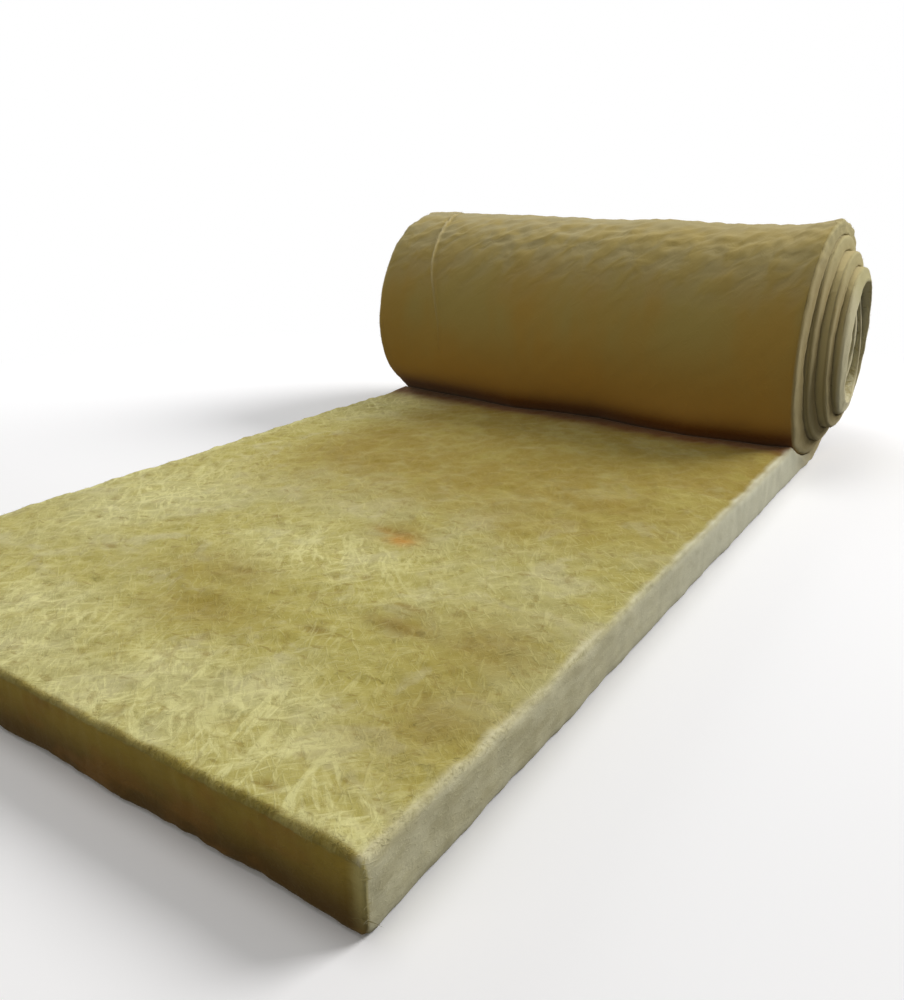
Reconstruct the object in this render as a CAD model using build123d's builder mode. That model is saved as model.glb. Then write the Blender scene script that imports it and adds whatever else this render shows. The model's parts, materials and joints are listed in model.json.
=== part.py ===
"""A glass-wool blanket, partly unrolled: a flat run on the floor that winds up into a loose roll.

One continuous strip of wool, so it is one solid. The flat run goes under the roll, up its far
side, over the top and down its near side, and rests on the flat run again. The inner turns have
slid along the axis, so the right end stands out like a blunt cone, with a shallow dish in its
middle where the core has stayed behind, and the left end is as deep.

+X runs along the roll's axis, +Y from the cut near end towards the roll, +Z up. The origin is on
the floor, under the middle of the whole piece.
"""
import os
from math import asin, degrees, sqrt

from build123d import *

# Driving dimensions, in millimetres
blanket_width = 1200.0    # the width that the blanket is sold in
blanket_thickness = 95.0  # of the flat run, settled on the floor
flat_run = 1868.0         # from the near end to the line under the roll's axis
roll_radius = 308.0       # outside of the outermost turn
turn_thickness = 36.0     # of one turn, pressed in the roll
bore_radius = 36.0        # the eye that is left in the middle of the winding
telescope = 68.0          # how far the most slid turns stand out of the right end
ring_outer = 186.0        # the most slid turns are a flat ring from this radius
ring_inner = 154.0        # to this one
dish_depth = 24.0         # how far the core has stayed behind that ring
dish_floor = 108.0        # radius of the dish's flat floor
settle = 3.0              # how far the roll's own weight flattens its underside
gap_width = 7.0           # the gap between two turns, at the ends
gap_depth = 45.0          # how deep that gap is where it is shallowest
gap_mouth = 24.0          # how far in front of the touching line the gap begins
gap_count = 4             # whole gaps that are open; further in the turns have closed up
top_edge = 14.0           # rounding of the flat run's top edges
rim_edge = 7.0            # rounding of the roll's rims
inner_end_angle = 130.0   # how far the last gap runs round the core's near side, in degrees

# Where the blanket and the roll's axis lie
left_x = -(blanket_width + telescope) / 2
right_x = left_x + blanket_width
near_y = -(flat_run + roll_radius) / 2
axis_y = near_y + flat_run
axis_z = roll_radius - settle

# The line where the outermost turn comes down on the flat run
drop_to_run = axis_z - blanket_thickness
touch_reach = sqrt(roll_radius**2 - drop_to_run**2)
touch_y = axis_y - touch_reach

# Under the roll the flat run is pressed to the thickness of a turn, along one shallow arc
pressed_top = turn_thickness - settle
press_rise = blanket_thickness - pressed_top
press_radius = (touch_reach**2 + press_rise**2) / (2 * press_rise)
press_centre = (axis_y, pressed_top + press_radius)
press_angle = degrees(asin(touch_reach / press_radius))
mouth_angle = press_angle + degrees(gap_mouth / press_radius)

# The outermost turn is half as thick again where it comes down on the flat run
outer_turn_end = roll_radius - 1.5 * turn_thickness


def gap_wall(shift):
    """One wall of the gap between the turns, seen along the axis; returns its two ends.

    The gap opens in the wedge in front of the touching line and follows the pressed arc. Then its
    far halves are centred on the axis and its near halves half a turn's thickness above it, so
    that each whole turn comes in by one thickness.
    """
    arcs = [CenterArc(press_centre, press_radius + shift, -90 - mouth_angle, mouth_angle)]
    for turn in range(1, gap_count + 1):
        far_radius = roll_radius - turn * turn_thickness
        near_radius = far_radius - turn_thickness / 2
        near_centre = (axis_y, axis_z + turn_thickness / 2)
        sweep_angle = inner_end_angle if turn == gap_count else 180
        arcs.append(CenterArc((axis_y, axis_z), far_radius + shift, -90, 180))
        arcs.append(CenterArc(near_centre, near_radius + shift, 90, sweep_angle))
    return arcs[0] @ 0, arcs[-1] @ 1


with BuildPart() as glass_wool_blanket:
    # The flat run, with its cut near end and both long top edges rounded
    with BuildSketch(Plane.YZ.offset(left_x)):
        with BuildLine():
            Polyline((touch_y, blanket_thickness), (near_y, blanket_thickness), (near_y, 0),
                     (axis_y, 0), (axis_y, pressed_top))
            CenterArc(press_centre, press_radius, -90 - press_angle, press_angle)
        make_face()
    extrude(amount=blanket_width)
    top_edges = glass_wool_blanket.faces().filter_by(Axis.Z).sort_by(Axis.Z)[-1].edges()
    far_edge = top_edges.sort_by(Axis.Y)[-1]
    fillet([edge for edge in top_edges if edge != far_edge], top_edge)

    # The wound part, turned about the roll's axis, with its bore and its slid ends
    with BuildSketch(Plane((0, axis_y, axis_z), x_dir=(1, 0, 0), z_dir=(0, -1, 0))):
        with BuildLine():
            Polyline((left_x, roll_radius),
                     (left_x, outer_turn_end),
                     (left_x + telescope, ring_outer),
                     (left_x + telescope, ring_inner),
                     (left_x + telescope - dish_depth, dish_floor),
                     (left_x + telescope - dish_depth, bore_radius),
                     (right_x + telescope - dish_depth, bore_radius),
                     (right_x + telescope - dish_depth, dish_floor),
                     (right_x + telescope, ring_inner),
                     (right_x + telescope, ring_outer),
                     (right_x, outer_turn_end),
                     (right_x, roll_radius),
                     close=True)
        rim = make_face()
        fillet(rim.vertices().group_by(Axis.Y)[-1], rim_edge)
    revolve(axis=Axis((0, axis_y, axis_z), (1, 0, 0)))

    # The floor flattens the underside
    split(bisect_by=Plane.XY, keep=Keep.TOP)

    # The gaps between the turns, cut into both ends
    for end_floor, reach in ((right_x - gap_depth, gap_depth + telescope),
                             (left_x, gap_depth + telescope)):
        with BuildSketch(Plane.YZ.offset(end_floor)):
            with BuildLine():
                outer_ends = gap_wall(gap_width / 2)
                inner_ends = gap_wall(-gap_width / 2)
                Line(outer_ends[0], inner_ends[0])
                Line(outer_ends[1], inner_ends[1])
            make_face()
        extrude(amount=reach, mode=Mode.SUBTRACT)

glass_wool_blanket.part.label = "glass_wool_blanket"
os.makedirs("parts", exist_ok=True)
export_step(glass_wool_blanket.part, "parts/glass_wool_blanket.step")

wound_area = 3.1416 * (roll_radius**2 - bore_radius**2)
print("whole blanket, if unrolled, mm:", round(flat_run + wound_area / turn_thickness))
print("volume, m3:", round(glass_wool_blanket.part.volume / 1e9, 4))
print("box:", glass_wool_blanket.part.bounding_box())
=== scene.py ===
"""Dresses the glass-wool blanket: the soft strip, its loose fibres, the floor, light and camera.

Everything is in metres in the model's own frame. The strip is laid along one path, flat run first
and then turn by turn into the roll, so the gaps between the turns are real at both ends.
"""
import json
from math import asin, pi, radians, sqrt

import bpy
import numpy as np
from mathutils import Euler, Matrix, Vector


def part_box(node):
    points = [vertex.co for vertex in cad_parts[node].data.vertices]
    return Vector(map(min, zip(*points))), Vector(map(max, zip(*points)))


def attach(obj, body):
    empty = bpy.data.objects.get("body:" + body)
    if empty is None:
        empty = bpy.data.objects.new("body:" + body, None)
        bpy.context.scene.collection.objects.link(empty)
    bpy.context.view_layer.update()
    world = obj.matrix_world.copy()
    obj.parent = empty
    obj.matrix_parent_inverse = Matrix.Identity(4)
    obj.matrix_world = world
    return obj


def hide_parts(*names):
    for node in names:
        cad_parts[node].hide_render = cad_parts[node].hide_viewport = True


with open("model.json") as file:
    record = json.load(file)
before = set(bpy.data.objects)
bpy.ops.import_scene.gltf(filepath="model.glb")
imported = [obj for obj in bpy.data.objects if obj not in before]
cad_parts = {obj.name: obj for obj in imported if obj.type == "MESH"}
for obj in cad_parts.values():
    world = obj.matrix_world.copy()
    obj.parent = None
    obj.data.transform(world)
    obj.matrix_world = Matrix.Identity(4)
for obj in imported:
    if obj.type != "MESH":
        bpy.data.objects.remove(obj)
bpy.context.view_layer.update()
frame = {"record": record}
NODE = "glass_wool_blanket"

# Sizes that the model gives
lowest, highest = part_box(NODE)
mounts = {mount["name"]: mount for mount in frame["record"]["mounts"]}
AXIS_Y, AXIS_Z = mounts["core_bore"]["pos_m"][1:]
MID_X = mounts["floor_face"]["pos_m"][0]
BORE_RADIUS = mounts["core_bore"]["dims"]["r_mm"] / 1000
WIDTH = mounts["core_bore"]["dims"]["length_mm"] / 1000
TELESCOPE = highest.x - lowest.x - WIDTH
ROLL_RADIUS = highest.y - AXIS_Y
NEAR_Y = lowest.y
HALF = WIDTH / 2
FLAT_RUN = AXIS_Y - NEAR_Y

# Sizes of the strip, the same as the model's
THICKNESS = 0.095
TURN = 0.036
SETTLE = ROLL_RADIUS - AXIS_Z
SOFT_EDGE = 0.007  # radius of its rounded edges
TURNS = 7
TURN_SEAM = 0.0004  # how far a face stays back from the turn that it lies on
CORE_END = radians(235)  # where the strip ends in the last turn
UNDER_ROLL = FLAT_RUN - 0.30  # from here on the roll covers the flat run

# Spacing of the strip's stations: at the cut end, from it on, and in the roll
CUT_END_PLACES = [0.0, 0.0015, 0.005, 0.010]
FIRST_EVEN_PLACE = 0.016
NEAR_SPACING, FAR_SPACING = 0.0055, 0.0090
FAR_SPACING_FROM = 1.3
OUTER_SPACING, INNER_SPACING = 0.0105, 0.0120

# The sorts of stretch that a station may lie in
IN_OPEN, COVERED, ROLL_OUTSIDE, INNER_TURN = range(4)

# Where the outermost turn comes down on the flat run, and the arc of the run under the roll
TOUCH_REACH = sqrt(ROLL_RADIUS**2 - (AXIS_Z - THICKNESS) ** 2)
TOUCH_Y = AXIS_Y - TOUCH_REACH
PRESSED_TOP = TURN - SETTLE
PRESS_RISE = THICKNESS - PRESSED_TOP
PRESS_RADIUS = (TOUCH_REACH**2 + PRESS_RISE**2) / (2 * PRESS_RISE)
PRESS_Z = PRESSED_TOP + PRESS_RADIUS
PRESS_ANGLE = asin(TOUCH_REACH / PRESS_RADIUS)
TOUCH_ANGLE = pi + asin((AXIS_Z - THICKNESS) / ROLL_RADIUS)

# How far the winding has slid, as a share of the telescoping, after so many turns; and how far
# the inner face of the strip leans out beyond its outer face there
SLID_TURNS = [0, 0.75, 1.0, 1.5, 1.75, 2.0, 2.25, 2.75, 3.0, 3.25, 3.75, 4.05, 4.35, 7]
SLID_SHARE = [0, 0.01, 0.06, 0.16, 0.25, 0.35, 0.51, 0.69, 0.75, 0.84, 1.03, 0.97, 0.68, 0.60]
LEAN_TURNS = [0, 0.75, 1.75, 2.75, 3.75, 4.1, 7]
LEAN = [0.003, 0.008, 0.009, 0.007, 0.013, 0.006, 0.002]

# The crease on the outermost turn: its distance from the left end, by angle about the axis
CREASE_ANGLES = np.radians([85, 105, 112, 124, 134, 144, 153, 159, 167, 177, 200])
CREASE_FROM_LEFT = np.array([90, 107, 118, 131, 142, 154, 170, 184, 199, 213, 214]) / 1000

# How the roll departs from a true cylinder along its width: how high its top lies, and how far
# forward it comes down on the flat run; places are measured from the middle of the width
TOP_X = np.array([-611, -531, -421, -251, -51, 169, 309, 449, 525, 560, 600]) / 1000
TOP_RISE = np.array([0, -1, -4, -5, -12, -9, -17, -16, -12, -5, 0]) / 1000
FOOT_X = np.array([-600, -562, -481, -340, -172, -54, 88, 208, 344, 462, 540, 602]) / 1000
FOOT_FORWARD = np.array([-38, -36, -23, -9, 19, -2, -5, 19, 33, 19, 17, -5]) / 1000


class Noise:
    """Smooth three-dimensional noise between about -1 and 1, always the same for one seed."""

    def __init__(self, seed):
        rng = np.random.default_rng(seed)
        slopes = rng.normal(size=(256, 3))
        self.slopes = slopes / np.linalg.norm(slopes, axis=1)[:, None]
        self.order = rng.permutation(256)

    def __call__(self, points, size):
        """The noise at points whose lumps are about size across; size may differ by axis."""
        p = np.asarray(points, float) / size
        cell = np.floor(p).astype(int)
        f = p - cell
        ease = f * f * f * (f * (f * 6 - 15) + 10)
        total = np.zeros(len(p))
        for corner in np.ndindex(2, 2, 2):
            corner = np.array(corner)
            c = (cell + corner) & 255
            pick = self.order[(self.order[(self.order[c[:, 0]] + c[:, 1]) & 255] + c[:, 2]) & 255]
            weight = np.prod(np.where(corner == 1, ease, 1 - ease), axis=1)
            total += weight * np.einsum("ij,ij->i", self.slopes[pick], f - corner)
        return total * 1.6


lumps, ripples, wisps = Noise(11), Noise(23), Noise(37)


def blend(value, start, stop):
    """0 below start, 1 above stop, smooth between; start may be above stop."""
    t = np.clip((np.asarray(value, float) - start) / (stop - start), 0, 1)
    return t * t * (3 - 2 * t)


# The path of the strip: where its lower and its upper face run, seen along the roll's axis
def around(centre_z, radius, angle):
    return np.stack([AXIS_Y + radius * np.cos(angle), centre_z + radius * np.sin(angle)], axis=-1)


def flat_stations():
    """Places along the flat run, denser near the cut end, which the camera sees closest."""
    places, place = list(CUT_END_PLACES), FIRST_EVEN_PLACE
    while place < FLAT_RUN - FAR_SPACING:
        places.append(place)
        place += NEAR_SPACING + (FAR_SPACING - NEAR_SPACING) * min(1, place / FAR_SPACING_FROM)
    places.append(FLAT_RUN)
    return np.array(places)


def flat_faces(places):
    """Lower and upper face of the flat run at these distances from the cut end."""
    y = NEAR_Y + places
    under = PRESS_Z - np.sqrt(PRESS_RADIUS**2 - np.minimum(y - AXIS_Y, 0) ** 2)
    top = np.where(y < TOUCH_Y, THICKNESS, under - TURN_SEAM)
    # The cut end's top edge is rounded, and its bottom edge lifts a little
    into_edge = np.maximum(0, SOFT_EDGE - places)
    drop = SOFT_EDGE - np.sqrt(np.maximum(0, SOFT_EDGE**2 - into_edge**2))
    lift = 0.005 * (1 - blend(places, 0, 0.006))
    return np.stack([y, lift], -1), np.stack([y, top - drop], -1)


def turn_faces(turn, angle):
    """Lower and upper face of a turn; the angle runs from -90 degrees, under the axis, to 270."""
    far = (angle < pi / 2)[:, None]
    raised = AXIS_Z + TURN / 2

    def boundary(number, seam):
        """The boundary after so many whole turns, moved in or out by a seam."""
        return np.where(far, around(AXIS_Z, ROLL_RADIUS - number * TURN + seam, angle),
                        around(raised, ROLL_RADIUS - (number + 0.5) * TURN + seam, angle))

    upper = boundary(turn, TURN_SEAM)
    if turn == TURNS:
        upper = around(AXIS_Z, BORE_RADIUS, angle)
    if turn > 1:
        return boundary(turn - 1, -TURN_SEAM), upper
    # The outermost turn's outside is round as far as the flat run, and then lies on it
    arc = ROLL_RADIUS * (TOUCH_ANGLE - pi / 2)
    along = (angle - pi / 2) / pi * (arc + PRESS_RADIUS * PRESS_ANGLE)
    on_circle = around(AXIS_Z, ROLL_RADIUS, pi / 2 + np.minimum(along, arc) / ROLL_RADIUS)
    slope = -pi / 2 - PRESS_ANGLE + (along - arc) / PRESS_RADIUS
    on_run = around(PRESS_Z, PRESS_RADIUS - TURN_SEAM, slope)
    lower = np.where((along < arc)[:, None], on_circle, on_run)
    return np.where(far, around(AXIS_Z, ROLL_RADIUS, angle), lower), upper


class Strip:
    """The stations of the strip: its two faces, its slide, and what sort of stretch each is in."""

    def __init__(self):
        places = flat_stations()
        lower, upper = flat_faces(places)
        zone = np.where(NEAR_Y + places < TOUCH_Y + 0.045, IN_OPEN, COVERED)
        parts = [(lower, upper, 0 * places, places, zone, 0 * places)]
        length = FLAT_RUN
        for turn in range(1, TURNS + 1):
            spacing = OUTER_SPACING if turn == 1 else INNER_SPACING
            radius = ROLL_RADIUS - (turn - 0.5) * TURN
            last = CORE_END if turn == TURNS else 1.5 * pi
            count = int(radius * (last + pi / 2) / spacing)
            angle = np.linspace(-pi / 2, last, count + 1)[1:]
            lower, upper = turn_faces(turn, angle)
            turns_in = turn - 1 + (angle + pi / 2) / (2 * pi)
            run = length + radius * (angle + pi / 2)
            length = run[-1]
            outside = (turn == 1) & (angle < TOUCH_ANGLE + 0.12)
            zone = np.where(outside, ROLL_OUTSIDE, INNER_TURN)
            parts.append((lower, upper, turns_in, run, zone, angle))
        joined = [np.concatenate(part) for part in zip(*parts)]
        self.lower, self.upper, self.turns_in, self.run, self.zone, self.angle = joined
        self.slide = TELESCOPE * np.interp(self.turns_in, SLID_TURNS, SLID_SHARE)
        self.lean = np.interp(self.turns_in, LEAN_TURNS, LEAN) * (self.turns_in > 0)
        self.count = len(self.run)


strip = Strip()


def crease_from_middle(angle):
    return np.interp(angle, CREASE_ANGLES, CREASE_FROM_LEFT) - HALF


# Places of the points across a face, between its two rounded edges
REACH = HALF - SOFT_EDGE
FINE = np.linspace(-REACH, REACH, 201)
FROM_EDGE = np.array([0, 15, 45, 130, 320]) / 1000
COARSE = np.concatenate([FROM_EDGE - REACH, [0], REACH - FROM_EDGE[::-1]])
BY_CREASE = np.array([-22, -14, -8, -5, -3, -1.5, 0, 1.5, 3, 5, 8, 14, 22]) / 1000


def columns(i, face):
    """Places across one face of a station: fine on the open upper face and beside the crease."""
    zone = strip.zone[i]
    if face == "upper" and zone == IN_OPEN or i < len(CUT_END_PLACES):
        return FINE
    if face == "lower" and zone == ROLL_OUTSIDE:
        crease = crease_from_middle(strip.angle[i]) + BY_CREASE
        left = np.linspace(-REACH, crease[0], 8)[:-1]
        right = np.linspace(crease[-1], REACH, 97)[1:]
        return np.concatenate([left, crease, right])
    return COARSE


# The rounded cut edge from the lower face to the upper one: (in from the edge, share of thickness)
ROUND = [(1.0, 0.0), (0.38, 0.035), (0.08, 0.10), (0.0, 0.20)]
EDGE = ROUND + [(0.0, 0.35), (0.0, 0.5), (0.0, 0.65)] + [(a, 1 - b) for a, b in reversed(ROUND)]
EDGE_INSET = np.array([edge[0] for edge in EDGE[1:-1]]) * SOFT_EDGE
EDGE_SHARE = np.array([edge[1] for edge in EDGE[1:-1]])


class Surface:
    """Collects points and faces of one closed mesh; each point keeps its place on the strip."""

    def __init__(self):
        self.points, self.faces, self.tags, self.count = [], [], [], 0

    def row(self, i, across, share):
        """Points of station i at these places across the width and shares of the thickness."""
        share = across * 0 + share
        across_face = strip.lower[i] * (1 - share[:, None]) + strip.upper[i] * share[:, None]
        x = MID_X + strip.slide[i] + strip.lean[i] * share + across
        self.points.append(np.column_stack([x, across_face]))
        self.tags.append(np.column_stack([across, strip.run[i] + 0 * across, share]))
        self.count += len(across)
        return np.arange(self.count - len(across), self.count)

    def bridge(self, first, second, places_a=None, places_b=None):
        """Faces between two rows of points; rows that differ in count are zipped together."""
        if len(first) == len(second):
            for a, b, c, d in zip(first[:-1], first[1:], second[1:], second[:-1]):
                self.faces.append((d, c, b, a))
            return
        i = j = 0
        while i < len(first) - 1 or j < len(second) - 1:
            step_a = places_a[i + 1] if i < len(first) - 1 else np.inf
            step_b = places_b[j + 1] if j < len(second) - 1 else np.inf
            if step_a <= step_b:
                self.faces.append((second[j], first[i + 1], first[i]))
                i += 1
            else:
                self.faces.append((second[j], second[j + 1], first[i]))
                j += 1

    def cap(self, ring, i, flip):
        """Closes one end of the strip with a grid."""
        rows = [ring["low"]]
        inner = columns(i, "upper")[1:-1] / REACH
        for j, share in enumerate(EDGE_SHARE):
            middle = self.row(i, inner * (HALF - EDGE_INSET[j]), share)
            rows.append(np.concatenate([[ring["left"][j]], middle, [ring["right"][j]]]))
        rows.append(ring["up"])
        for a, b in zip(rows[:-1], rows[1:]):
            self.bridge(*((a, b) if flip else (b, a)))


def side_points(ring, name):
    end = -1 if name == "right" else 0
    return np.concatenate([[ring["low"][end]], ring[name], [ring["up"][end]]])


def build_strip():
    surface = Surface()
    rings = []
    for i in range(strip.count):
        across_low, across_up = columns(i, "lower"), columns(i, "upper")
        ring = {"across_low": across_low, "across_up": across_up}
        ring["low"] = surface.row(i, across_low, 0.0)
        ring["right"] = surface.row(i, HALF - EDGE_INSET, EDGE_SHARE)
        ring["up"] = surface.row(i, across_up, 1.0)
        ring["left"] = surface.row(i, EDGE_INSET - HALF, EDGE_SHARE)
        rings.append(ring)
    for a, b in zip(rings[:-1], rings[1:]):
        surface.bridge(a["low"], b["low"], a["across_low"], b["across_low"])
        surface.bridge(b["up"], a["up"], b["across_up"], a["across_up"])
        surface.bridge(side_points(a, "right"), side_points(b, "right"))
        surface.bridge(side_points(b, "left"), side_points(a, "left"))
    surface.cap(rings[0], 0, False)
    surface.cap(rings[-1], strip.count - 1, True)
    return np.concatenate(surface.points), np.concatenate(surface.tags), surface.faces


def as_triangles(faces):
    """The faces as triangles: first the halves of those with four sides, then the others."""
    quads = np.array([face for face in faces if len(face) == 4])
    others = np.array([face for face in faces if len(face) == 3])
    return np.concatenate([quads[:, [0, 1, 2]], quads[:, [0, 2, 3]], others])


def normals_of(points, triangles):
    """Smooth normals at the points of a mesh."""
    a, b, c = (points[triangles[:, k]] for k in range(3))
    normal = np.cross(b - a, c - a)

    def gathered(part):
        """One part of the normal, added up at each point."""
        return sum(np.bincount(triangles[:, k], part, len(points)) for k in range(3))

    total = np.stack([gathered(normal[:, axis]) for axis in range(3)], -1)
    return total / np.maximum(np.linalg.norm(total, axis=1), 1e-12)[:, None]


class Region:
    """What part of the strip each point lies in, as covers from 0 to 1."""

    def __init__(self, points, tags):
        self.across, self.run, self.share = tags.T
        first_turn = 2 * pi * (ROLL_RADIUS - TURN / 2)

        # The angle about the roll's axis: from 0 to 360 degrees, and as a climb from -90 to 270
        self.angle = np.arctan2(points[:, 2] - AXIS_Z, points[:, 1] - AXIS_Y) % (2 * pi)
        self.climb = np.where(self.angle > 1.5 * pi, self.angle - 2 * pi, self.angle)

        # The flat run, its cut edges and its upper face
        self.flat = 1 - blend(self.run, UNDER_ROLL, FLAT_RUN - 0.22)
        edge = np.abs(self.across)
        self.side = blend(edge, HALF - 0.95 * SOFT_EDGE, HALF - 0.15 * SOFT_EDGE)
        self.end = 1 - blend(self.run, 0.0, 0.006)
        self.cut = np.maximum(self.side, self.end)
        self.near_edge = blend(edge, HALF - 0.06, HALF - SOFT_EDGE)
        upper_face = blend(self.share, 0.9, 1)
        self.top = self.flat * upper_face * (1 - self.cut)

        # The cut side's pale colour comes over the right edge along a wandering line
        by_run = np.column_stack([self.run, 0 * self.run, 0 * self.run])
        wander = 0.006 * ripples(by_run, 0.11) + 0.004 * wisps(by_run, 0.037)
        right_edge = blend(self.across + wander, HALF - 0.018, HALF - 0.001)
        self.soft_border = right_edge * self.flat * upper_face

        # The roll's outside, and the turns that stand out furthest on its right end
        in_first = (self.run > FLAT_RUN) & (self.run < FLAT_RUN + first_turn)
        self.outer = in_first * (1 - self.share)
        self.outside = (1 - self.share) * (self.run > UNDER_ROLL)
        turns_in = np.interp(self.run, strip.run, strip.turns_in)
        on_right = self.across > 0
        self.ring = blend(turns_in, 3.05, 3.3) * (1 - blend(turns_in, 4.05, 4.4)) * on_right

        # The upper face is golden towards the roll, partly its own tone and partly painted shade
        # from the roll; pale by its near edge, and by its left edge with a painted highlight
        self.golden = blend(self.run, 0.62, 1.05) * blend(self.across, -0.52, -0.28)
        self.golden *= 1 - 0.4 * blend(self.across, 0.40, 0.52) * (self.run < 1.2)
        # A painted highlight along the left edge
        left_edge = blend(self.across, 0.05 - HALF, 0.012 - HALF)
        near_band = blend(self.run, 0.004, 0.014) * (1 - blend(self.run, 0.04, 0.15))
        self.pale_edge = np.maximum(left_edge, near_band)
        # A painted glow of light through the wool where the top turns down at the cut end, ochre in
        # tint
        self.turned_down_glow = 0.7 * (1 - blend(self.run, 0.003, 0.011))

        # Painted shade in the wedge where the roll comes down; the wool tucked in there, and the
        # dished core
        from_nip = np.hypot(points[:, 1] - TOUCH_Y + 0.012, 1.3 * (points[:, 2] - THICKNESS))
        nearness = np.minimum(1, 1.3 * np.exp(-(from_nip / 0.062) ** 2))
        self.nip = nearness * (1 - self.side) * (self.run < FLAT_RUN + 2.0)
        self.tucked = blend(turns_in, 1.05, 1.2) * (1 - self.share)
        self.hollow = np.maximum(blend(turns_in, 2.95, 3.05) * self.share * (1 - self.side),
                                 0.7 * blend(turns_in, 4.1, 4.4) * on_right)

        # The crease: its lip, the trough on its right and the raised wool on its left
        from_crease = self.across - crease_from_middle(self.angle)
        shown = self.outer * blend(self.angle, radians(80), radians(100))
        shown = shown * (1 - blend(self.angle, radians(160), radians(198)))
        self.crease_lip = shown * np.exp(-(from_crease / 0.0028) ** 2)
        self.crease_trough = shown * np.exp(-((from_crease - 0.010) / 0.006) ** 2)
        self.crease_left = shown * (1 - blend(from_crease, -0.02, 0.0))


def wool_shape(points, tags, normal):
    """Moves the strip's points to the soft, uneven shape of the real blanket."""
    region = Region(points, tags)
    across, run, share = tags.T
    place = np.column_stack([across, run, share * THICKNESS])

    # Broad lumps, small tufts and pits of the upper face
    moved = region.top * (0.0040 * lumps(place, 0.31) + 0.0028 * ripples(place, 0.085)
                          + 0.0026 * wisps(place, 0.034) + 0.0016 * lumps(place + 5, 0.016))
    moved -= region.top * 0.006 * np.maximum(0, ripples(place + 9, 0.021) - 0.42)

    # The roll's outside: smooth below, and wrinkled on the slant towards its top
    slant = np.column_stack([across + run, run - across, 0 * run]) / sqrt(2)
    climb = np.degrees(region.climb)
    upper = blend(climb, 152, 120) * blend(climb, -50, 20) * (0.50 + 0.50 * blend(climb, 70, 114))
    swell = 0.0030 * lumps(slant, 0.26) + 0.0008 * ripples(slant, (0.030, 0.09, 1))
    moved += region.outer * (swell + 0.0066 * upper * wisps(slant, (0.022, 0.038, 1)))
    over_top = region.outer * np.maximum(0, np.cos(region.angle - radians(95))) ** 2
    moved += over_top * np.interp(across, TOP_X, TOP_RISE)
    moved += 0.0040 * region.crease_lip - 0.0022 * region.crease_trough
    moved += 0.0018 * region.crease_left

    # The cut edges: in layers, a little ragged, and swollen here and there
    rough = 0.0010 * ripples(place, (0.05, 0.05, 0.016)) + 0.0009 * wisps(place, 0.020)
    moved += region.cut * (rough + 0.0028 * lumps(place, 0.13) + 0.0012 * ripples(place + 4, 0.045))
    moved += region.end * share * 0.0016 * ripples(place + 3, (0.013, 1, 0.05))
    moved += region.near_edge * (1 - region.cut) * 0.0010 * wisps(place, 0.014)
    points = points + normal * moved[:, None]

    # The roll comes down on the flat run along an uneven line
    along, above = points[:, 1] - TOUCH_Y, points[:, 2] - THICKNESS
    at_foot = np.exp(-(along / 0.10) ** 2 - (above / 0.07) ** 2)
    points[:, 1] -= at_foot * np.interp(across, FOOT_X, FOOT_FORWARD)

    # The blanket is a little thicker towards its cut end, and rests on the floor
    thicker = 0.055 * (1 - blend(run, 0.0, 0.30)) - 0.035 * region.near_edge * blend(run, 0.1, 0.4)
    points[:, 2] *= 1 + thicker * region.flat
    by_side = blend(np.abs(across), HALF - 0.03, HALF - 0.01)
    at_edge = np.maximum(by_side, 1 - blend(run, 0.01, 0.03))
    ragged = 0.0035 * np.maximum(0, ripples(place + 7, 0.055))
    ragged += 0.0025 * np.maximum(0, wisps(place + 7, 0.022))
    points[:, 2] += at_edge * region.flat * (1 - share) * ragged
    points[:, 2] = np.maximum(points[:, 2], 0)
    return points


# Patches of the upper face: from the middle of the width, from the cut end, and half their size
OCHRE_PATCHES = [(0.53, 0.23, 0.09, 0.12), (0.48, 0.41, 0.09, 0.10), (0.30, 0.86, 0.12, 0.12),
                 (0.33, 1.19, 0.30, 0.22), (0.38, 1.51, 0.45, 0.12), (0.06, 0.29, 0.10, 0.07),
                 (-0.02, 0.39, 0.10, 0.06), (0.13, 0.69, 0.07, 0.06), (0.35, 0.41, 0.06, 0.04),
                 (-0.07, 1.54, 0.45, 0.09), (-0.02, 1.35, 0.40, 0.16)]
# The first pale patch, by the left edge near the roll, is painted light where the roll's shadow
# falls
PALE_PATCHES = [(-0.52, 1.42, 0.13, 0.24), (0.55, 0.05, 0.16, 0.09), (0.43, 0.07, 0.22, 0.09),
                (0.33, 0.14, 0.12, 0.10), (-0.17, 0.14, 0.25, 0.10), (-0.42, 0.59, 0.15, 0.30),
                (0.08, 0.54, 0.25, 0.12), (0.15, 0.14, 0.12, 0.10)]
ORANGE_PATCHES = [(0.155, 0.655, 0.028, 0.020), (0.130, 0.678, 0.040, 0.009)]
DARK_PATCHES = [(0.123, 0.682, 0.042, 0.012), (0.345, 0.397, 0.055, 0.014),
                (0.320, 0.455, 0.030, 0.010), (0.245, 0.325, 0.024, 0.010),
                (0.010, 0.410, 0.016, 0.008), (-0.270, 0.353, 0.018, 0.008),
                (0.448, 0.029, 0.014, 0.006), (0.200, 0.500, 0.012, 0.007),
                (-0.120, 0.620, 0.014, 0.007)]


def patch_cover(tags, patches):
    """How far each point lies in one of the patches, whose borders are soft."""
    cover = np.zeros(len(tags))
    for across, run, wide, long in patches:
        away = ((tags[:, 0] - across) / wide) ** 2 + ((tags[:, 1] - run) / long) ** 2
        cover = np.maximum(cover, np.exp(-away))
    return cover


def add_values(piece, values):
    """Gives a piece's points their values, by name, for the materials to read."""
    for name, value in values.items():
        layer = piece.data.attributes.new(name, "FLOAT", "POINT")
        layer.data.foreach_set("value", value.astype(np.float32))


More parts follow.
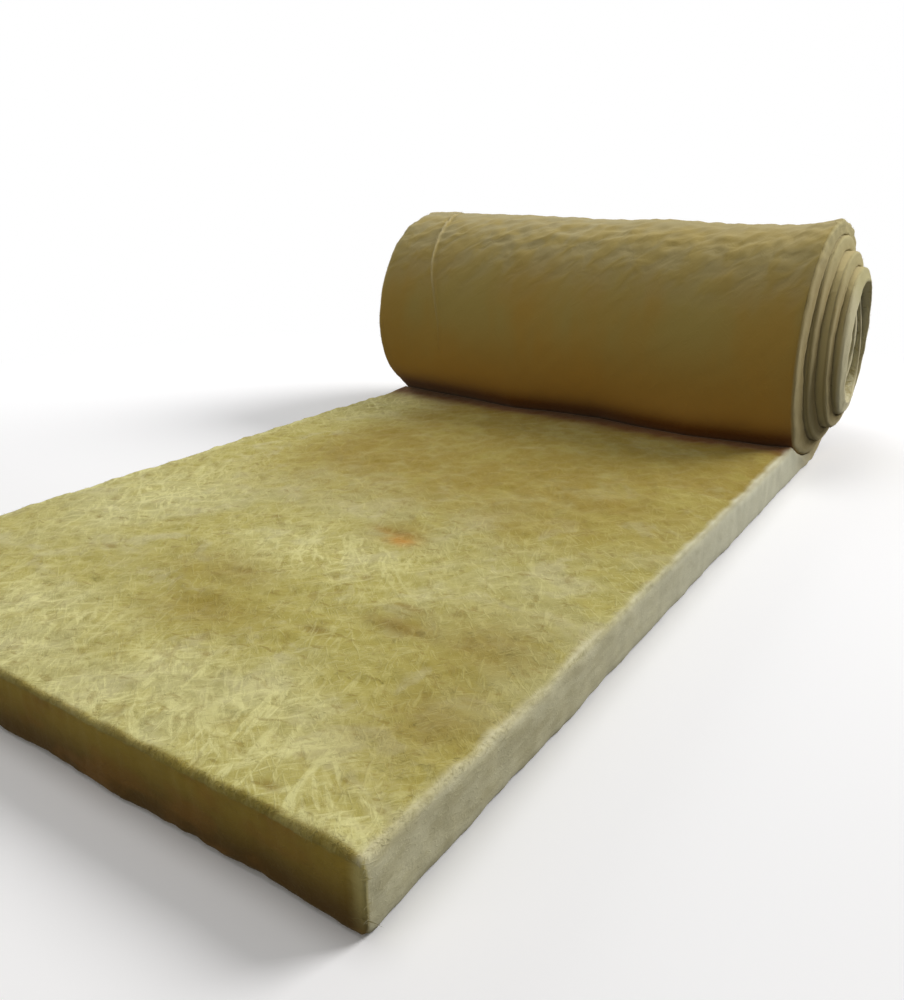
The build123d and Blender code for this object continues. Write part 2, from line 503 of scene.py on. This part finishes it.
def set_surface_values(piece, points, tags):
    """Gives the material what it needs: place on the strip, and what each point is part of."""
    region = Region(points, tags)
    across, run, share = tags.T
    strip_place = tags * [1, 1, THICKNESS]
    layer = piece.data.attributes.new("strip", "FLOAT_VECTOR", "POINT")
    layer.data.foreach_set("vector", strip_place.astype(np.float32).ravel())
    angle = np.degrees(region.angle)
    rise = np.maximum(0, np.cos(region.angle - radians(90)))
    # The ochre tint: the wool's ochre patches, painted shade towards the roll, and a painted glow
    # at the turned-down cut edge
    ochre = [0.75 * patch_cover(tags, OCHRE_PATCHES), region.golden, region.turned_down_glow]
    # How far the strip is in the roll, and where the painted shade of its grooves begins, past the
    # outer rim
    wound = blend(run, FLAT_RUN - 0.25, FLAT_RUN + 0.1)
    past_rim = np.maximum(blend(run, FLAT_RUN + 1.8, FLAT_RUN + 1.9), share > 0.5)
    add_values(piece, {
        "cut": np.maximum(region.side, region.soft_border),
        "end": region.end * (1 - blend(share, 0.96, 1.0)),
        "depth": share,
        "outside": region.outside,
        # the crease lip's painted highlight, dimmer lower down the roll
        "crease": region.crease_lip * (1 - 0.75 * blend(angle, 120, 175)),
        "roll_height": region.outside * rise,
        "low": region.outside * blend(angle, 165, 215) * (region.climb > 0),
        "corner": blend(across, HALF - 0.024, HALF - 0.003),
        "far": blend(run, 0.3, 1.3),
        "nip": region.nip,
        "ring": region.ring,
        "tucked": region.tucked,
        "hollow": region.hollow,
        "rise": rise,
        "upper_right": blend(across, -0.1, 0.4) * blend(angle, 140, 115),
        "ochre": np.maximum.reduce(ochre),
        "pale": np.maximum(patch_cover(tags, PALE_PATCHES), region.pale_edge),
        "orange": patch_cover(tags, ORANGE_PATCHES),
        "dark": patch_cover(tags, DARK_PATCHES),
        "wound": wound,
        "wound_in": wound * past_rim,
    })


def mesh_piece(name, points, faces, material, smooth=True):
    mesh = bpy.data.meshes.new(name)
    mesh.from_pydata(points.tolist(), [], faces)
    mesh.materials.append(material)
    mesh.polygons.foreach_set("use_smooth", [smooth] * len(mesh.polygons))
    mesh.update()
    piece = bpy.data.objects.new(name, mesh)
    bpy.context.scene.collection.objects.link(piece)
    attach(piece, "root")
    return piece


# Materials
def new_material(name):
    material = bpy.data.materials.new(name)
    material.use_nodes = True
    material.node_tree.nodes.clear()
    return material


class Tree:
    """Short names for building a node tree."""

    def __init__(self, material):
        self.tree = material.node_tree

    def node(self, kind, **settings):
        made = self.tree.nodes.new(kind)
        for key, value in settings.items():
            setattr(made, key, value)
        return made

    def feed(self, socket, value):
        if isinstance(value, tuple):
            socket.default_value = (*value, 1) if len(value) == 3 else value
        elif isinstance(value, (int, float)):
            socket.default_value = value
        else:
            self.tree.links.new(value, socket)

    def noise(self, vector, scale, detail=3.0, rough=0.55, distort=0.0):
        made = self.node("ShaderNodeTexNoise")
        for name, value in (("Vector", vector), ("Scale", scale), ("Detail", detail),
                            ("Roughness", rough), ("Distortion", distort)):
            self.feed(made.inputs[name], value)
        return made.outputs["Fac"]

    def ramp(self, value, start, stop):
        made = self.node("ShaderNodeMapRange", interpolation_type="SMOOTHSTEP")
        for name, fed in (("Value", value), ("From Min", start), ("From Max", stop)):
            self.feed(made.inputs[name], fed)
        return made.outputs["Result"]

    def math(self, operation, a, b=0.0):
        made = self.node("ShaderNodeMath", operation=operation)
        self.feed(made.inputs[0], a)
        self.feed(made.inputs[1], b)
        return made.outputs[0]

    def times(self, a, b):
        return self.math("MULTIPLY", a, b)

    def most(self, a, b):
        return self.math("MAXIMUM", a, b)

    def mix(self, factor, a, b):
        """From colour a to colour b; the Mix node's colour sockets are 6 and 7 in, and 2 out."""
        made = self.node("ShaderNodeMix", data_type="RGBA")
        for socket, value in ((0, factor), (6, a), (7, b)):
            self.feed(made.inputs[socket], value)
        return made.outputs[2]

    def stretched(self, vector, size, turn=0.0):
        """Coordinates turned about Z and then divided by a size along each axis."""
        made = self.node("ShaderNodeMapping", vector_type="TEXTURE")
        made.inputs["Scale"].default_value = size
        made.inputs["Rotation"].default_value = (0, 0, turn)
        self.feed(made.inputs["Vector"], vector)
        return made.outputs["Vector"]

    def value(self, name):
        return self.node("ShaderNodeAttribute", attribute_name=name).outputs["Fac"]

    def vector(self, name):
        return self.node("ShaderNodeAttribute", attribute_name=name).outputs["Vector"]

    def finish(self, shader):
        out = self.node("ShaderNodeOutputMaterial")
        self.tree.links.new(shader, out.inputs["Surface"])


CREAM = (0.415, 0.378, 0.148)
YELLOW = (0.395, 0.338, 0.074)
WHITISH = (0.475, 0.430, 0.215)
OCHRE = (0.275, 0.198, 0.026)
# dark dabs, and painted shade in the hollows between wisps
DAB_AND_HOLLOW_SHADE = (0.240, 0.165, 0.026)
PALE = (0.700, 0.665, 0.300)
GOLD = (0.430, 0.335, 0.080)
ORANGE = (0.540, 0.245, 0.034)
CUT_PALE = (0.700, 0.660, 0.430)
CUT_DARK = (0.580, 0.535, 0.320)
CUT_FAR = (0.720, 0.705, 0.530)
# A turn's cut face: pale outside, darker towards its inner side with painted shade
TURN_PALE = (0.475, 0.390, 0.190)
TURN_SHADED = (0.370, 0.285, 0.118)
# painted shade in the grooves between the turns
GROOVE_SHADE = (0.080, 0.048, 0.010)
RING = (0.730, 0.665, 0.420)
HOLLOW = (0.640, 0.600, 0.400)
# The near end's colours: painted shade, paler at its top edge, darkest at its foot, reddish in
# patches
END_SHADE_TOP = (0.380, 0.265, 0.040)
END_SHADE_LOW = (0.105, 0.054, 0.008)
END_SHADE_REDDISH = (0.300, 0.140, 0.024)
# painted light where it reaches round the near end's right corner
END_CORNER_LIT = (0.600, 0.520, 0.200)
# The roll's outside: its own browner face, darkened in part with painted shade
OUTSIDE = (0.375, 0.240, 0.052)
OUTSIDE_GREEN = (0.350, 0.265, 0.076)
# painted shade and warm light bounced from the flat run, low on the roll
OUTSIDE_LOW_SHADE = (0.470, 0.265, 0.052)
ROLL_UPPER = (0.350, 0.288, 0.128)
# painted highlight along the roll's top
ROLL_TOP_HIGHLIGHT = (0.420, 0.385, 0.250)
TUCKED = (0.480, 0.400, 0.190)
# painted highlight on the crease's lip
CREASE_HIGHLIGHT = (0.560, 0.480, 0.270)
# painted shade in the wedge where the roll comes down on the flat run
NIP_SHADE = (0.150, 0.050, 0.004)

# The directions that most wisps take on the upper face, in radians
WISP_TURNS = (1.95, 2.45, 0.9)


def threads_on(t):
    """The colour of the threads: golden where the wool is, and else pale."""
    golden = t.most(t.value("ochre"), t.value("outside"))
    return t.mix(golden, PALE, GOLD)


def strokes(t, strip_place, scale, start, stop):
    """Short curved strokes, most of them near one direction and some across it."""
    seen = None
    for number, turn in enumerate(WISP_TURNS):
        place = t.stretched(strip_place, (5, 1, 1), turn)
        field = t.noise(place, scale * (1 + 0.2 * number), distort=1.3)
        stroke = t.ramp(field, start, stop)
        seen = stroke if seen is None else t.most(seen, stroke)
    return seen


def wool_colour(t, strip_place):
    """The wool's colour everywhere, with its painted light and shade, without its fine threads, and
    its wrinkles' relief.
    """
    # The upper face
    broad = t.ramp(t.noise(strip_place, 2.6, 2), 0.38, 0.62)
    top = t.mix(broad, CREAM, YELLOW)
    blotch = t.noise(strip_place, 10, 5, 0.62, 0.5)
    top = t.mix(t.times(t.ramp(blotch, 0.50, 0.62), 0.65), top, YELLOW)
    top = t.mix(t.times(t.ramp(blotch, 0.48, 0.36), 0.75), top, WHITISH)
    mottle = t.ramp(t.noise(t.stretched(strip_place, (1.8, 1, 1), 0.6), 46, 4, 0.65), 0.44, 0.66)
    top = t.mix(t.times(mottle, 0.20), top, threads_on(t))
    pale = t.times(strokes(t, strip_place, 50, 0.50, 0.68), 0.85)
    pale = t.times(t.value("pale"), t.math("ADD", pale, 0.2))
    top = t.mix(t.times(pale, 0.85), top, PALE)
    stain = t.ramp(t.noise(strip_place, 15, 4, 0.6, 0.3), 0.34, 0.60)
    stain = t.math("ADD", t.times(stain, 0.45), 0.55)
    top = t.mix(t.times(t.value("ochre"), stain), top, OCHRE)
    speckle = t.ramp(t.noise(t.stretched(strip_place, (2.2, 1, 1), 0.15), 58, 3, 0.55), 0.60, 0.74)
    top = t.mix(t.times(speckle, 0.28), top, DAB_AND_HOLLOW_SHADE)
    top = t.mix(t.times(t.value("orange"), 0.85), top, ORANGE)
    top = t.mix(t.times(t.value("dark"), 0.9), top, DAB_AND_HOLLOW_SHADE)

    # The roll's outside: brown, partly its own face and partly painted shade; browner below with
    # painted shade and bounced light; finely streaked on the slant; paler towards its top, partly
    # with painted light from above; a painted highlight along the top
    slanted = t.stretched(strip_place, (1.6, 1.0, 1.0), -0.85)
    wrinkle = t.noise(slanted, 21, 2, 0.45, 0.4)
    streak = t.times(t.ramp(wrinkle, 0.40, 0.62), 0.8)
    brown = t.ramp(t.noise(t.stretched(strip_place, (1.0, 2.2, 1.0)), 5.0, 3), 0.38, 0.64)
    outside = t.mix(brown, OUTSIDE_GREEN, OUTSIDE)
    height = t.value("roll_height")
    upper = t.mix(streak, ROLL_UPPER, OUTSIDE_GREEN)
    # Paler towards the roll's top: partly the streaked wool, partly painted light from above
    outside = t.mix(t.ramp(height, 0.20, 0.85), outside, upper)
    outside = t.mix(t.times(t.value("upper_right"), 0.6), outside, OUTSIDE_GREEN)
    # Painted shade and warm light bounced from the flat run, low on the roll's outside
    outside = t.mix(t.value("low"), outside, OUTSIDE_LOW_SHADE)
    # Painted highlight along the roll's top
    outside = t.mix(t.times(t.ramp(height, 0.93, 1.0), 0.25), outside, ROLL_TOP_HIGHLIGHT)
    # Painted highlight on the crease's lip, fading as it turns away from the light
    outside = t.mix(t.times(t.value("crease"), 0.8), outside, CREASE_HIGHLIGHT)
    outside = t.mix(t.value("tucked"), outside, TUCKED)
    colour = t.mix(t.value("outside"), top, outside)
    # Painted shade in the wedge where the roll comes down on the flat run
    colour = t.mix(t.value("nip"), colour, NIP_SHADE)
    colour = t.mix(t.value("hollow"), colour, HOLLOW)

    # The cut edges, in faint layers. In the roll's ends browner, with painted shade towards each
    # turn's inner side and in the grooves, and a painted highlight where the turns face up; the
    # near end browner, in painted shade, with painted light at its right corner
    layers = t.ramp(t.noise(t.stretched(strip_place, (3.2, 3.2, 1.0)), 52, 4, 0.6), 0.36, 0.66)
    pale_cut = t.mix(layers, CUT_PALE, CUT_DARK)
    pale_cut = t.mix(t.value("far"), pale_cut, CUT_FAR)
    depth = t.value("depth")
    # Each turn's cut face darkens towards its inner side: partly its own layers, partly painted
    # shade
    across_turn = t.math("ADD", t.ramp(depth, 0.15, 0.75), t.times(layers, 0.25))
    wound_cut = t.mix(across_turn, TURN_PALE, TURN_SHADED)
    # Painted shade in the grooves between the turns
    groove_shade = t.most(t.ramp(depth, 0.84, 0.99), t.ramp(depth, 0.05, 0.0))
    wound_cut = t.mix(t.times(groove_shade, t.value("wound_in")), wound_cut, GROOVE_SHADE)
    # Painted highlight: the turns' cut faces and the ring whiten where they face up
    rise = t.ramp(t.value("rise"), 0.6, 1.0)
    wound_cut = t.mix(t.times(rise, 0.6), wound_cut, WHITISH)
    ring = t.mix(rise, RING, WHITISH)
    wound_cut = t.mix(t.value("ring"), wound_cut, ring)
    wound_cut = t.mix(t.value("hollow"), wound_cut, HOLLOW)
    cut = t.mix(t.value("wound"), pale_cut, wound_cut)
    colour = t.mix(t.value("cut"), colour, cut)
    # The near end in painted shade: darkest at its foot, with reddish patches in the shade
    end = t.mix(t.ramp(depth, 0.05, 0.95), END_SHADE_LOW, END_SHADE_TOP)
    reddish_shade = t.ramp(t.noise(t.stretched(strip_place, (1.6, 1, 1)), 15, 2), 0.46, 0.66)
    end = t.mix(t.times(reddish_shade, 0.5), end, END_SHADE_REDDISH)
    # Painted light where it reaches round the near end's right corner
    corner = t.times(t.value("corner"), t.ramp(depth, -0.3, 0.9))
    end = t.mix(corner, end, END_CORNER_LIT)

    # The wrinkles' relief fades on the cut edges, and where the roll's top turns away
    relief = t.times(t.ramp(height, 0.15, 0.75), t.ramp(t.value("cut"), 0.5, 0.0))
    relief = t.times(wrinkle, t.times(relief, t.ramp(height, 0.99, 0.85)))
    return t.mix(t.value("end"), colour, end), relief


def matt_shader(t, colour, roughness, specular):
    """A matt shader with the soft sheen of fine fibres."""
    shader = t.node("ShaderNodeBsdfPrincipled")
    shader.inputs["Roughness"].default_value = roughness
    shader.inputs["Specular IOR Level"].default_value = specular
    shader.inputs["Sheen Weight"].default_value = 0.18
    shader.inputs["Sheen Roughness"].default_value = 0.5
    shader.inputs["Sheen Tint"].default_value = (1.0, 0.93, 0.68, 1)
    t.feed(shader.inputs["Base Color"], colour)
    return shader


def bump(t, height, strength, distance):
    made = t.node("ShaderNodeBump")
    made.inputs["Strength"].default_value = strength
    made.inputs["Distance"].default_value = distance
    t.feed(made.inputs["Height"], height)
    return made


def wool_material():
    """Bare glass wool: mottled yellow above, brown outside the roll, pale in the cut edges; with
    painted light and shade.
    """
    material = new_material("glass_wool")
    t = Tree(material)
    strip_place = t.vector("strip")
    colour, relief = wool_colour(t, strip_place)

    # Wisps that lie across each other, with hollows darkened by painted shade, a fine web and small
    # dark dabs between them
    wisps_seen = strokes(t, strip_place, 85, 0.53, 0.70)
    hollows = t.noise(t.stretched(strip_place, (1.9, 1, 1), 2.2), 44, 4, 0.62, 0.2)
    hollows = t.ramp(hollows, 0.47, 0.30)
    edges = t.most(t.value("cut"), t.value("end"))
    on_top = t.math("SUBTRACT", 1.0, t.most(t.value("outside"), edges))
    on_top = t.times(on_top, t.ramp(t.value("nip"), 0.5, 0.0))
    amount = t.math("ADD", t.times(on_top, 0.30), 0.03)
    colour = t.mix(t.times(wisps_seen, amount), colour, threads_on(t))
    # Painted shade in the hollows between the wisps
    colour = t.mix(t.times(hollows, t.times(on_top, 0.40)), colour, DAB_AND_HOLLOW_SHADE)
    web = t.noise(strip_place, 260, 3, 0.65)
    amount = t.math("ADD", t.times(on_top, 0.10), 0.06)
    colour = t.mix(t.times(t.ramp(web, 0.50, 0.32), amount), colour, t.mix(0.5, colour, DAB_AND_HOLLOW_SHADE))
    dabs = t.ramp(t.noise(t.stretched(strip_place, (2.4, 1, 1), 0.2), 74, 2, 0.5), 0.62, 0.70)
    colour = t.mix(t.times(dabs, t.times(on_top, 0.42)), colour, DAB_AND_HOLLOW_SHADE)

    # The fine relief fades on the cut edges and outside the roll
    height = t.math("ADD", t.times(wisps_seen, 0.6), t.times(web, 0.5))
    height = t.math("SUBTRACT", height, t.times(hollows, 0.5))
    plain = t.most(edges, t.value("outside"))
    height = t.times(height, t.ramp(plain, 1.5, 0.2))
    fine = bump(t, height, 0.4, 0.0026)
    wrinkles = bump(t, relief, 0.6, 0.016)
    t.feed(wrinkles.inputs["Normal"], fine.outputs["Normal"])
    shader = matt_shader(t, colour, 0.95, 0.12)
    t.feed(shader.inputs["Normal"], wrinkles.outputs["Normal"])
    t.finish(shader.outputs["BSDF"])
    return material


def fibre_material():
    """Loose threads: the colour of the wool they lie on, some a little paler or darker."""
    material = new_material("wool_fibres")
    t = Tree(material)
    colour, _ = wool_colour(t, t.vector("strip"))
    tone = t.value("tone")
    colour = t.mix(t.times(t.ramp(tone, 0.30, 1.0), 0.18), colour, threads_on(t))
    colour = t.mix(t.times(t.ramp(tone, 0.20, 0.0), 0.20), colour, OCHRE)
    t.finish(matt_shader(t, colour, 0.85, 0.15).outputs["BSDF"])
    return material


class Picker:
    """Picks seeded random places on the shaped strip, by area and by what part it is."""

    def __init__(self, points, tags, triangles):
        self.points, self.tags, self.triangles = points, tags, triangles
        self.normals = normals_of(points, triangles)
        a, b, c = (points[triangles[:, k]] for k in range(3))
        self.area = np.linalg.norm(np.cross(b - a, c - a), axis=1) / 2
        self.middle = (a + b + c) / 3
        self.middle_tags = tags[triangles].mean(axis=1)
        self.region = Region(self.middle, self.middle_tags)

    def pick(self, rng, weight, count):
        share = self.area * weight
        chosen = self.triangles[rng.choice(len(share), count, p=share / share.sum())]
        a, b = rng.random((2, count))
        a, b = np.where(a + b > 1, 1 - a, a), np.where(a + b > 1, 1 - b, b)

        def between(values):
            return (values[chosen[:, 0]] * (1 - a - b)[:, None] + values[chosen[:, 1]] * a[:, None]
                    + values[chosen[:, 2]] * b[:, None])

        normal = between(self.normals)
        normal = normal / np.linalg.norm(normal, axis=1)[:, None]
        return between(self.points), normal, between(self.tags)


# Counts and sizes of the loose fibres, and their main directions
TOP_STRANDS = 14600  # on each of the three pieces of the upper face
BROAD_STRANDS = 700
BORDER_STRANDS = 700
EDGE_BAND = 0.022
FINE_WIDE = (0.0003, 0.0009)
ALONG = (0, 1, 0)
ACROSS = (1, 0, 0)
UPWARD = (0, 0, 1)
ON_SLANT = (1, 0, 0.6)
ANY = pi

# One strand: a tip, two rings of three points and a tip, as four steps along it
STRAND_STEPS = np.array([-0.5, -0.2, 0.2, 0.5])
STRAND_TRIANGLES = [(0, 2, 1), (0, 3, 2), (0, 1, 3), (7, 4, 5), (7, 5, 6), (7, 6, 4)]
STRAND_QUADS = [(1, 2, 5, 4), (2, 3, 6, 5), (3, 1, 4, 6)]


def unit(vectors):
    return vectors / np.maximum(np.linalg.norm(vectors, axis=1), 1e-9)[:, None]


def strands(place, normal, along, length, width, height, bend, lift):
    """Closed pointed strands, each through its place; lift raises the far tip."""
    along = unit(along - normal * np.sum(along * normal, axis=1)[:, None])
    side = np.cross(normal, along)
    points = np.empty((len(place), 8, 3))

    def at(step):
        bowed = (bend * length * (step**2 - 0.25))[:, None]
        out = place + along * (length * step)[:, None] + side * bowed
        return out + normal * (lift * length * (step + 0.5) ** 2)[:, None]

    points[:, 0], points[:, 7] = at(STRAND_STEPS[0]), at(STRAND_STEPS[3])
    for first, step in ((1, STRAND_STEPS[1]), (4, STRAND_STEPS[2])):
        middle = at(step)
        points[:, first] = middle - side * (width / 2)[:, None]
        points[:, first + 1] = middle + side * (width / 2)[:, None]
        points[:, first + 2] = middle + normal * height[:, None]
    points[:, :, 2] = np.maximum(points[:, :, 2], 0.0002)
    return points


def strand_faces(count):
    first = 8 * np.arange(count)[:, None, None]
    triangles = (first + np.array(STRAND_TRIANGLES)).reshape(-1, 3)
    quads = (first + np.array(STRAND_QUADS)).reshape(-1, 4)
    return triangles.tolist() + quads.tolist()


def tangents(rng, normal, main, spread):
    """Directions in the surface, spread about a main one; a spread of pi is any direction."""
    main = unit(main - normal * np.sum(main * normal, axis=1)[:, None])
    angle = rng.uniform(-spread, spread, len(normal))[:, None]
    return main * np.cos(angle) + np.cross(normal, main) * np.sin(angle)


class Fibres:
    """Gathers strands of several sorts into one piece."""

    def __init__(self, name, picker, seed):
        self.name, self.picker, self.rng = name, picker, np.random.default_rng(seed)
        self.points, self.tags, self.places, self.tones = [], [], [], []

    def scatter(self, weight, count, main, spread, length, lift, width=FINE_WIDE, bend=0.5,
                tone=(0, 1), flat=0.10, sink=0.0001):
        """Strands at random places; they turn from their main direction by up to the spread."""
        rng = self.rng
        place, normal, tags = self.picker.pick(rng, weight, count)
        heading = tangents(rng, normal, np.broadcast_to(np.array(main, float), place.shape), spread)
        long = rng.uniform(*length, count)
        wide = rng.uniform(*width, count)
        rise = rng.uniform(*lift, count)
        bow = rng.uniform(-bend, bend, count)
        made = strands(place - normal * sink, normal, heading, long, wide, wide * flat, bow, rise)
        self.points.append(made.reshape(-1, 3))
        self.places.append(np.repeat(place, 8, axis=0))
        self.tags.append(np.repeat(tags, 8, axis=0))
        self.tones.append(np.repeat(rng.uniform(*tone, count), 8))

    def make(self, material):
        points = np.concatenate(self.points)
        faces = strand_faces(len(points) // 8)
        piece = mesh_piece(self.name, points, faces, material, smooth=False)
        set_surface_values(piece, np.concatenate(self.places), np.concatenate(self.tags))
        add_values(piece, {"tone": np.concatenate(self.tones)})


def make_blanket():
    points, tags, faces = build_strip()
    triangles = as_triangles(faces)
    shaped = wool_shape(points, tags, normals_of(points, triangles))
    faces = [tuple(map(int, face)) for face in faces]
    piece = mesh_piece("blanket", shaped, faces, wool_material())
    set_surface_values(piece, points, tags)
    return piece, Picker(shaped, tags, triangles)


def make_fibres(picker):
    material = fibre_material()
    region = picker.region
    near = 1 + 2.0 * (1 - blend(region.run, 0.1, 1.2))  # denser towards the camera
    top = region.top * near * (picker.middle[:, 1] < TOUCH_Y - 0.01)
    by_edge = (np.abs(region.across) > HALF - EDGE_BAND) | (region.run < EDGE_BAND)
    inside = top * ~by_edge
    for number in range(3):
        fibres = Fibres(f"top_fibres_{number + 1}", picker, 100 + number)
        fibres.scatter(inside, TOP_STRANDS, ALONG, ANY, length=(0.007, 0.022), lift=(0.0, 0.006),
                       bend=0.9, tone=(0, 0.8))
        fibres.scatter(inside, BROAD_STRANDS, ALONG, ANY, length=(0.010, 0.022), lift=(0.0, 0.0),
                       width=(0.0010, 0.0018), tone=(0.3, 0.7), flat=0.06)
        fibres.scatter(top * by_edge, BORDER_STRANDS, ALONG, ANY, length=(0.005, 0.014),
                       lift=(0.0, 0.12), tone=(0.3, 1))
        fibres.make(material)

    edges = Fibres("edge_fibres", picker, 7)
    on_flat = (region.run < FLAT_RUN - 0.2) * 1.0
    wound = (region.run > FLAT_RUN) * 1.0
    end = (region.run < 0.012) * (region.share > 0.15)
    rounded = 4 * region.cut * (1 - region.cut)
    upper_edge = rounded * on_flat * (region.share > 0.5)
    side_edge, end_edge = upper_edge * (region.run > 0.02), upper_edge * (region.run < 0.02)
    rolled = region.outer * (region.angle < TOUCH_ANGLE)
    side = region.side * on_flat * (region.share > 0.15)
    edges.scatter(side, 3200, ALONG, 0.35, length=(0.012, 0.040), lift=(0.0, 0.04), tone=(0.2, 0.8))
    edges.scatter(end, 1800, ACROSS, 0.9, length=(0.006, 0.020), lift=(0.0, 0.06),
                  tone=(0.15, 0.35))
    edges.scatter(side_edge, 2400, ALONG, ANY, length=(0.004, 0.012), lift=(0.0, 0.25),
                  tone=(0.5, 1))
    edges.scatter(end_edge, 1200, ACROSS, ANY, length=(0.003, 0.010), lift=(0.0, 0.3),
                  tone=(0, 0.2))
    edges.scatter(rolled, 450, ON_SLANT, 0.5, length=(0.008, 0.022), lift=(0.0, 0.03),
                  tone=(0.2, 0.4))
    edges.scatter(region.side * wound, 2600, ALONG, ANY, length=(0.006, 0.022), lift=(0.0, 0.2))
    edges.scatter(rounded * wound, 1800, ACROSS, ANY, length=(0.004, 0.012), lift=(0.1, 0.6))
    edges.scatter(region.crease_lip, 260, UPWARD, 0.35, length=(0.008, 0.022), lift=(0.0, 0.10),
                  width=(0.0006, 0.0014), tone=(0.5, 0.8))
    edges.make(material)


# The studio: floor, light and camera
FLOOR_REACH = 60
FLOOR_SEEN = (0.97, 0.97, 0.98)
FLOOR_BOUNCE = (0.12, 0.12, 0.12)
FLOOR_FADE = (1.2, 2.6)  # distances from the origin at which it runs into the background
AMBIENT = 0.20

# Name, place, point aimed at, size, power and colour
LAMPS = [("key", (3.7, 4.2, 4.4), (0.1, -0.3, 0.1), 3.4, 400, (1.0, 0.99, 0.98)),
         ("overhead", (-0.5, -0.5, 4.2), (0, -0.6, 0), 2.4, 40, (1, 1, 1)),
         ("fill", (-0.6, -3.6, 1.8), (-0.1, 0.0, 0.2), 2.4, 16, (1.0, 0.93, 0.82)),
         ("left", (-3.4, 1.2, 1.5), (-0.4, 0.3, 0.1), 1.8, 40, (1, 1, 1))]


def seen_directly(t):
    """1 for rays that show the background, straight, mirrored or through glass, and else 0."""
    path = t.node("ShaderNodeLightPath").outputs
    mirrored = t.most(path["Is Glossy Ray"], path["Is Transmission Ray"])
    return t.most(path["Is Camera Ray"], mirrored)


def make_studio():
    floor = bpy.data.meshes.new("floor")
    reach = FLOOR_REACH
    corners = [(-reach, -reach, 0), (reach, -reach, 0), (reach, reach, 0), (-reach, reach, 0)]
    floor.from_pydata(corners, [], [(0, 1, 2, 3)])
    ground = bpy.data.objects.new("floor", floor)
    bpy.context.scene.collection.objects.link(ground)
    floor.materials.append(floor_material())

    world = bpy.data.worlds.new("studio")
    bpy.context.scene.world = world
    world.use_nodes = True
    t = Tree(world)
    background = world.node_tree.nodes["Background"]
    t.feed(background.inputs["Color"], (1.0, 1.0, 1.0))
    strength = t.math("ADD", t.times(seen_directly(t), 1 - AMBIENT), AMBIENT)
    t.feed(background.inputs["Strength"], strength)

    for name, place, aim, size, power, colour in LAMPS:
        light = bpy.data.lights.new(name, "AREA")
        light.shape = "DISK"
        light.size = size
        light.energy = power
        light.color = colour
        holder = bpy.data.objects.new(name, light)
        holder.location = place
        holder.rotation_euler = (Vector(aim) - Vector(place)).to_track_quat("-Z", "Y").to_euler()
        bpy.context.scene.collection.objects.link(holder)


def floor_material():
    """A pale floor that runs into the white background, and bounces little light up."""
    material = new_material("floor")
    t = Tree(material)
    place = t.node("ShaderNodeTexCoord").outputs["Object"]
    distance = t.node("ShaderNodeVectorMath", operation="LENGTH")
    t.feed(distance.inputs[0], place)
    seen = seen_directly(t)
    surface = t.node("ShaderNodeBsdfDiffuse")
    t.feed(surface.inputs["Color"], t.mix(seen, FLOOR_BOUNCE, FLOOR_SEEN))
    white = t.node("ShaderNodeEmission")
    fade = t.times(seen, t.ramp(distance.outputs["Value"], *FLOOR_FADE))
    both = t.node("ShaderNodeMixShader")
    t.feed(both.inputs[0], fade)
    t.tree.links.new(surface.outputs[0], both.inputs[1])
    t.tree.links.new(white.outputs[0], both.inputs[2])
    t.finish(both.outputs[0])
    return material


# The photograph's view: a camera fitted to the blanket's straight edges
CAMERA_PLACE = (MID_X + 1.0365, -1.5868, 0.7065)
PITCH, TURN_LEFT, LEVEL = radians(20.17), radians(33.79), radians(-0.28)
SENSOR_HEIGHT, LENS = 36, 31.33


def make_camera():
    camera = bpy.data.cameras.new("camera")
    camera.sensor_fit = "VERTICAL"
    camera.sensor_height = SENSOR_HEIGHT
    camera.lens = LENS
    camera.clip_start = 0.01
    holder = bpy.data.objects.new("camera", camera)
    upright = Euler((pi / 2 - PITCH, 0, TURN_LEFT), "XYZ").to_matrix()
    holder.rotation_euler = (upright @ Euler((0, 0, LEVEL)).to_matrix()).to_euler()
    holder.location = CAMERA_PLACE
    bpy.context.scene.collection.objects.link(holder)
    bpy.context.scene.camera = holder


blanket, picker = make_blanket()
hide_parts(NODE)
make_fibres(picker)
make_studio()
make_camera()
bpy.context.scene.view_settings.view_transform = "Standard"
